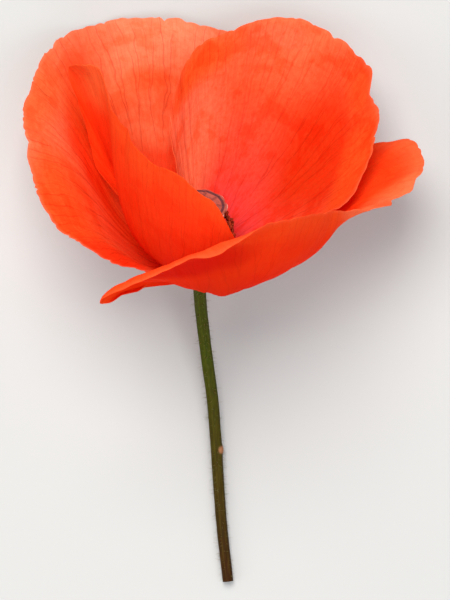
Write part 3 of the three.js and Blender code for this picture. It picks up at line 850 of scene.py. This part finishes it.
class PoppyStemSettings(bpy.types.PropertyGroup):
    """Sizes and colours of the stem and its bristles."""

    bristle_count: IntProperty(name="Bristles", description="How many hairs are drawn", default=520, min=0)
    bristle_length: FloatProperty(
        name="Bristle length", description="Usual length of a hair", default=0.0011, min=0.0002, max=0.004,
        precision=4, subtype="DISTANCE", unit="LENGTH",
    )
    torus_colour: FloatVectorProperty(
        name="Torus", description="Colour of the swelling under the petals", default=(0.11, 0.11, 0.025),
        size=3, min=0, max=1, subtype="COLOR",
    )
    top_colour: FloatVectorProperty(
        name="Top", description="Colour of the stem under the petals", default=(0.050, 0.050, 0.006), size=3,
        min=0, max=1, subtype="COLOR",
    )
    middle_colour: FloatVectorProperty(
        name="Middle", description="Green of its upper half", default=(0.043, 0.055, 0.003), size=3,
        min=0, max=1, subtype="COLOR",
    )
    low_colour: FloatVectorProperty(
        name="Low", description="Olive brown of its lower half", default=(0.042, 0.033, 0.003), size=3,
        min=0, max=1, subtype="COLOR",
    )
    cut_colour: FloatVectorProperty(
        name="Cut", description="Colour at its cut end", default=(0.030, 0.008, 0.002), size=3,
        min=0, max=1, subtype="COLOR",
    )


class POPPY_OT_stem(bpy.types.Operator):
    """Add the torus and stem as one tube, and the bristles that stand out of it"""

    bl_idname = "poppy.stem"
    bl_label = "Stem"

    def execute(self, context):
        settings = context.scene.poppy.stem
        points, faces, marks = stem_tube(48)
        add_piece("stalk", placed(points, LYING), faces, stem_material(settings), "stem", None, marks)
        points, faces = bristle_tubes(settings.bristle_count, settings.bristle_length / MM)
        add_piece("stalk_bristles", placed(points, LYING), faces, bristle_material())
        return {"FINISHED"}


# Seed vessel and stamens ----------------------------------------------------------------------------------


def pistil_surface(sides, rings):
    """The seed vessel and its disc: a smooth profile turned round the axis, with ten raised velvet rays.

    A ray's height is a bell of the distance from its middle line, along the disc's top only. The vessel is
    faintly ribbed below each ray. The top is closed by a fan, and so is the foot.
    """
    rows = np.asarray(PISTIL, float)
    knots = np.concatenate([[0], np.cumsum(np.linalg.norm(np.diff(rows[:, :2], axis=0), axis=1))])
    share = np.linspace(0, 1, rings)
    height, radius, ray = smooth_through(knots, rows, share * knots[-1]).T[:, :, None]
    height = height + DISC_LIFT * ease(8.5, 11.2, height)
    radius = radius + DISC_WIDER * ease(3.0, 5.2, radius)
    azimuth = 360.0 * np.arange(sides)[None] / sides
    wave = np.cos(np.radians(DISC_RAYS * azimuth))
    top = ease(0.70, 0.76, share)[:, None]
    vessel = ease(2.4, 4.0, height) * (1 - ease(9.5, 11.0, height))
    from_ray = np.abs((azimuth * DISC_RAYS / 360 + 0.5) % 1 - 0.5) * 2 * np.pi * radius / DISC_RAYS
    lobes = (0.5 + 0.5 * wave) ** 0.6
    edge = ease(4.2, 5.2, radius)
    out = radius + ray * (2 * lobes - 1) * 0.55 + 0.10 * vessel * np.abs(wave)
    out = out + 0.05 * edge * grain(azimuth / 5, 0, 91)
    ridge = np.exp(-(from_ray / 0.34) ** 2) * top * ease(0.3, 0.9, radius) * (1 - ease(4.5, 5.2, radius))
    lip = 0.25 * edge * top
    rough = 0.04 * grain(azimuth / 7, radius * 3, 92) * top
    points = around(azimuth, out, height + 0.30 * ridge + lip + rough)
    middle = np.array([[0, 0, PISTIL[-1][0] + 0.05], [0, 0, PISTIL[0][0]]])
    count = sides * rings
    top_cap = cap_faces(np.arange(count - sides, count), count, True)
    foot_cap = cap_faces(np.arange(sides), count + 1, False)
    faces = [grid_faces(rings, sides, True)[:, ::-1], np.concatenate([top_cap, foot_cap])]
    marks = {
        "ray": np.append(np.broadcast_to(ridge, out.shape).reshape(-1), [0.6, 0.0]),
        "disc": np.append((top * np.ones_like(out)).reshape(-1), [1.0, 0.0]),
        "rim": np.append((ease(5.35, 5.75, out) * ease(11.3, 11.9, height)).reshape(-1), [0.0, 0.0]),
        "band": np.append((np.exp(-(((out - 4.85) / 0.32) ** 2)) * top).reshape(-1), [0.0, 0.0]),
    }
    return np.concatenate([points.reshape(-1, 3), middle]), faces, marks


def stamen_lines(count, seed):
    """Filaments from the collar, bowing out under the disc as quadratic curves to drawn tips, in whorls."""
    draws = np.random.default_rng(seed)
    number = np.arange(count)
    azimuth = 360.0 * (number + draws.uniform(-0.5, 0.5, count)) / count
    whorl = number % 4
    out = 5.65 + 0.35 * whorl + draws.uniform(-0.2, 0.35, count)
    up = 9.6 - 0.75 * whorl + draws.uniform(-0.7, 0.5, count)
    sway = azimuth + draws.uniform(-6, 6, count)
    root = around(azimuth, np.full(count, 1.7), np.full(count, 1.75))
    bend = around(azimuth, 4.0 + draws.uniform(-0.3, 0.5, count), 3.3 + draws.uniform(-0.5, 0.8, count))
    tip = around(sway, out, up)
    t = np.linspace(0, 1, 10)[None, :, None]
    lines = (1 - t) ** 2 * root[:, None] + 2 * t * (1 - t) * bend[:, None] + t**2 * tip[:, None]
    return lines, tip, azimuth, draws


def collar_ring(sides):
    """The ring that the filaments grow from: a rounded square section turned round the axis."""
    angle = 2 * np.pi * np.arange(14)[:, None] / 14
    across = np.sign(np.cos(angle)) * np.abs(np.cos(angle)) ** 0.6
    rise = np.sign(np.sin(angle)) * np.abs(np.sin(angle)) ** 0.6
    azimuth = 360.0 * np.arange(sides)[None] / sides
    points = around(azimuth, 1.7 + 0.42 * across, 1.62 + 0.33 * rise + 0 * azimuth)
    faces = grid_faces(15, sides, True) % (14 * sides)
    return points.reshape(-1, 3), [faces]


def anther_tubes(tips, azimuth, draws):
    """Anthers: short ellipsoids across the filaments' tips with a groove each side, and each point's slit."""
    count, rings, sides = len(tips), 7, 8
    heading = azimuth + 90 + draws.uniform(-40, 40, count)
    pitch = np.radians(draws.uniform(-50, 50, count))
    axis = around(heading, np.cos(pitch), np.sin(pitch))
    long = draws.uniform(1.0, 1.4, count)[:, None, None]
    t = np.linspace(-0.97, 0.97, rings)[None, :, None]
    bow = 0.14 * (1 - t**2) * np.array([0.0, 0.0, 1.0])
    lines = tips[:, None] + 0.5 * long * t * axis[:, None] + bow
    groove = np.cos(2 * 2 * np.pi * np.arange(sides) / sides)
    wide = draws.uniform(0.32, 0.44, count)[:, None, None]
    radii = wide * np.sqrt(1 - t**2 * 0.985) * (1 + 0.26 * groove)
    points, faces = tubes(lines, radii, sides, (0.2, 0.1, 0.97))
    slit = np.broadcast_to((groove < -0.5).astype(float), (count, rings, sides)).reshape(count, -1)
    return points, faces, np.concatenate([slit, np.zeros((count, 2))], axis=1).reshape(-1)


def pistil_material():
    """Dull green vessel under a mauve-grey disc, with dark velvet rays and a pale, thin rim."""
    s = Shader("seed_vessel")
    solid = s.add("ShaderNodeTexCoord", output=3)
    grainy = s.noise(solid, 1400.0, 3.0, 0.6)
    disc = s.add("ShaderNodeAttribute", output=2, attribute_name="disc")
    ray = s.add("ShaderNodeAttribute", output=2, attribute_name="ray")
    rim = s.add("ShaderNodeAttribute", output=2, attribute_name="rim")
    vessel = s.mix(s.ease(0.35, 0.65, grainy), rgba((0.17, 0.20, 0.075)), rgba((0.24, 0.22, 0.11)))
    top = s.mix(s.ease(0.35, 0.65, grainy), rgba((0.32, 0.056, 0.036)), rgba((0.45, 0.084, 0.056)))
    colour = s.mix(disc, vessel, top)
    colour = s.tint(colour, rgba((0.110, 0.022, 0.024)), ray, 0.25, 0.80, 0.42)
    band = s.add("ShaderNodeAttribute", output=2, attribute_name="band")
    colour = s.tint(colour, rgba((0.060, 0.012, 0.020)), band, 0.25, 0.75, 0.85)
    colour = s.tint(colour, rgba((0.92, 0.38, 0.32)), rim, 0.35, 0.95, 0.85)
    bump = s.add("ShaderNodeBump", {"Strength": 0.6, "Distance": 0.0001, "Height": grainy})
    return s.finish(s.add("ShaderNodeBsdfPrincipled", {
        "Base Color": colour, "Roughness": 0.68, "Specular IOR Level": 0.25, "Normal": bump,
    }))


def filament_material():
    """Dark purple-red filaments, paler at the foot."""
    s = Shader("filament")
    solid = s.add("ShaderNodeTexCoord", output=3)
    mottle = s.noise(solid, 600.0, 2.0)
    colour = s.mix(s.ease(0.4, 0.62, mottle), rgba((0.075, 0.010, 0.016)), rgba((0.16, 0.018, 0.022)))
    return s.finish(s.add("ShaderNodeBsdfPrincipled", {"Base Color": colour, "Roughness": 0.45}))


def anther_material():
    """Dusty dark red-brown anthers that split along a paler slit, with grains of pollen."""
    s = Shader("anther")
    solid = s.add("ShaderNodeTexCoord", output=3)
    dust = s.noise(solid, 3800.0, 2.0, 0.7)
    slit = s.add("ShaderNodeAttribute", output=2, attribute_name="slit")
    colour = s.mix(s.ease(0.40, 0.62, dust), rgba((0.20, 0.015, 0.004)), rgba((0.46, 0.055, 0.016)))
    colour = s.mix(s.ease(0.55, 0.95, slit), colour, rgba((0.48, 0.16, 0.08)))
    colour = s.mix(s.ease(0.68, 0.76, dust), colour, rgba((0.40, 0.24, 0.13)))
    bump = s.add("ShaderNodeBump", {"Strength": 0.7, "Distance": 0.00006, "Height": dust})
    return s.finish(s.add("ShaderNodeBsdfPrincipled", {
        "Base Color": colour, "Roughness": 0.75, "Specular IOR Level": 0.1, "Normal": bump,
    }))


class PoppyHeartSettings(bpy.types.PropertyGroup):
    """Numbers and sizes of the stamens."""

    stamen_count: IntProperty(name="Stamens", description="How many stamens stand round", default=132, min=8)
    filament_radius: FloatProperty(
        name="Filament radius", description="Half a filament's thickness at its foot", default=0.0001,
        min=0.00004, max=0.0004, precision=5, subtype="DISTANCE", unit="LENGTH",
    )


class POPPY_OT_heart(bpy.types.Operator):
    """Add the seed vessel with its rayed disc, and the filaments and anthers round it"""

    bl_idname = "poppy.heart"
    bl_label = "Seed vessel and stamens"

    def execute(self, context):
        settings = context.scene.poppy.heart
        points, faces, marks = pistil_surface(240, 130)
        vessel = placed(points, HEAD)
        add_piece("seed_vessel", vessel, faces, pistil_material(), "pistil", None, marks)
        count = settings.stamen_count
        lines, tips, azimuth, draws = stamen_lines(count, 97)
        thin = settings.filament_radius / MM * (1 - 0.35 * np.linspace(0, 1, lines.shape[1]))
        points, faces = tubes(lines, np.tile(thin, (count, 1)), 5, (0.05, 0.11, 0.99))
        collar, ring = collar_ring(64)
        faces = [*faces, *(part + len(points) for part in ring)]
        points = placed(np.concatenate([points, collar]), HEAD)
        add_piece("filaments", points, faces, filament_material(), "stamens")
        points, faces, slit = anther_tubes(tips, azimuth, draws)
        marks = {"slit": slit}
        add_piece("anthers", placed(points, HEAD), faces, anther_material(), None, None, marks)
        return {"FINISHED"}


# Stage ----------------------------------------------------------------------------------------------------


def floor_material(settings):
    """A matt, pale surface with the faintest mottle."""
    s = Shader("pale_floor")
    solid = s.add("ShaderNodeTexCoord", output=3)
    mottle = s.noise(solid, 9.0, 2.0)
    tone = tuple(settings.floor_colour)
    colour = s.mix(mottle, rgba(tone), rgba(tuple(0.985 * part for part in tone)))
    return s.finish(s.add("ShaderNodeBsdfPrincipled", {"Base Color": colour, "Roughness": 0.9}))


def soft_light(name, place, size, power, colour):
    """A square lamp that shines on the flower from a place in metres beside its origin."""
    lamp = bpy.data.lights.new(name, "AREA")
    lamp.shape = "SQUARE"
    lamp.size = size
    lamp.energy = power
    lamp.color = colour
    holder = bpy.data.objects.new(name, lamp)
    towards = unit(np.asarray(place, float))
    across = unit(np.cross((0.0, 1.0, 0.001), towards))
    pose = np.eye(4)
    pose[:3, :3] = np.column_stack([across, np.cross(towards, across), towards])
    pose[:3, 3] = ORIGIN + np.asarray(place)
    holder.matrix_world = Matrix(pose)
    bpy.context.scene.collection.objects.link(holder)


class PoppyStageSettings(bpy.types.PropertyGroup):
    """Floor, lamps and camera."""

    floor_colour: FloatVectorProperty(
        name="Floor", description="Colour of the floor", default=(0.47, 0.47, 0.46), size=3, min=0, max=1,
        subtype="COLOR",
    )
    key_power: FloatProperty(
        name="Key", description="Power of the main lamp", default=10.0, min=0, unit="POWER",
    )
    fill_power: FloatProperty(
        name="Fill", description="Power of the fill lamp", default=4.5, min=0, unit="POWER",
    )
    side_power: FloatProperty(
        name="Side", description="Power of the side lamp", default=1.7, min=0, unit="POWER",
    )
    sky: FloatProperty(name="Sky", description="Strength of the even light all round", default=0.47, min=0)


class POPPY_OT_stage(bpy.types.Operator):
    """Add the pale floor, the soft lamps, the even sky and the camera that looks down on the flower"""

    bl_idname = "poppy.stage"
    bl_label = "Stage"

    def execute(self, context):
        settings = context.scene.poppy.stage
        scene = context.scene
        mesh = bpy.data.meshes.new("floor")
        mesh.from_pydata([(-3, -3, 0), (3, -3, 0), (3, 3, 0), (-3, 3, 0)], [], [(0, 1, 2, 3)])
        mesh.materials.append(floor_material(settings))
        floor = bpy.data.objects.new("floor", mesh)
        scene.collection.objects.link(floor)
        soft_light("key_lamp", (-0.14, 0.42, 0.82), 0.55, settings.key_power, (1.0, 0.975, 0.94))
        soft_light("fill_lamp", (0.28, -0.48, 0.68), 0.70, settings.fill_power, (0.94, 0.97, 1.0))
        soft_light("side_lamp", (-0.60, -0.14, 0.45), 0.50, settings.side_power, (1.0, 0.98, 0.95))
        world = bpy.data.worlds.new("sky")
        world.use_nodes = True
        sky = world.node_tree.nodes["Background"]
        sky.inputs["Color"].default_value = rgba((0.93, 0.96, 1.0))
        sky.inputs["Strength"].default_value = settings.sky
        scene.world = world
        scene.view_settings.view_transform = "Standard"
        lens = bpy.data.cameras.new("camera")
        lens.sensor_width = 36.0
        lens.lens = 36.0 * CAMERA_BACK / CAMERA_TALL
        lens.clip_end = 20.0
        camera = bpy.data.objects.new("camera", lens)
        pose = np.eye(4)
        pose[:3, :3] = LYING
        pose[:3, 3] = placed((*CAMERA_AIM, CAMERA_BACK), LYING)
        camera.matrix_world = Matrix(pose)
        scene.collection.objects.link(camera)
        scene.camera = camera
        return {"FINISHED"}


class PoppySettings(bpy.types.PropertyGroup):
    """All that a user would change on the poppy."""

    petal: PointerProperty(type=PoppyPetalSettings)
    stem: PointerProperty(type=PoppyStemSettings)
    heart: PointerProperty(type=PoppyHeartSettings)
    stage: PointerProperty(type=PoppyStageSettings)


class POPPY_PT_panel(bpy.types.Panel):
    """The poppy's pieces and their settings"""

    bl_label = "Poppy"
    bl_idname = "POPPY_PT_panel"
    bl_space_type = "VIEW_3D"
    bl_region_type = "UI"
    bl_category = "Poppy"

    def draw(self, context):
        poppy = context.scene.poppy
        for operator, group in (
            (POPPY_OT_petals, poppy.petal), (POPPY_OT_stem, poppy.stem), (POPPY_OT_heart, poppy.heart),
            (POPPY_OT_stage, poppy.stage),
        ):
            box = self.layout.box()
            box.operator(operator.bl_idname)
            for key in group.__annotations__:
                box.prop(group, key)


CLASSES = (
    PoppyPetalSettings, PoppyStemSettings, PoppyHeartSettings, PoppyStageSettings, PoppySettings,
    POPPY_OT_petals, POPPY_OT_stem, POPPY_OT_heart, POPPY_OT_stage, POPPY_PT_panel,
)


def register():
    for cls in CLASSES:
        bpy.utils.register_class(cls)
    bpy.types.Scene.poppy = PointerProperty(type=PoppySettings)


def unregister():
    del bpy.types.Scene.poppy
    for cls in reversed(CLASSES):
        bpy.utils.unregister_class(cls)


def main():
    register()
    bpy.ops.poppy.petals()
    bpy.ops.poppy.stem()
    bpy.ops.poppy.heart()
    bpy.ops.poppy.stage()
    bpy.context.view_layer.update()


if __name__ == "__main__":
    main()
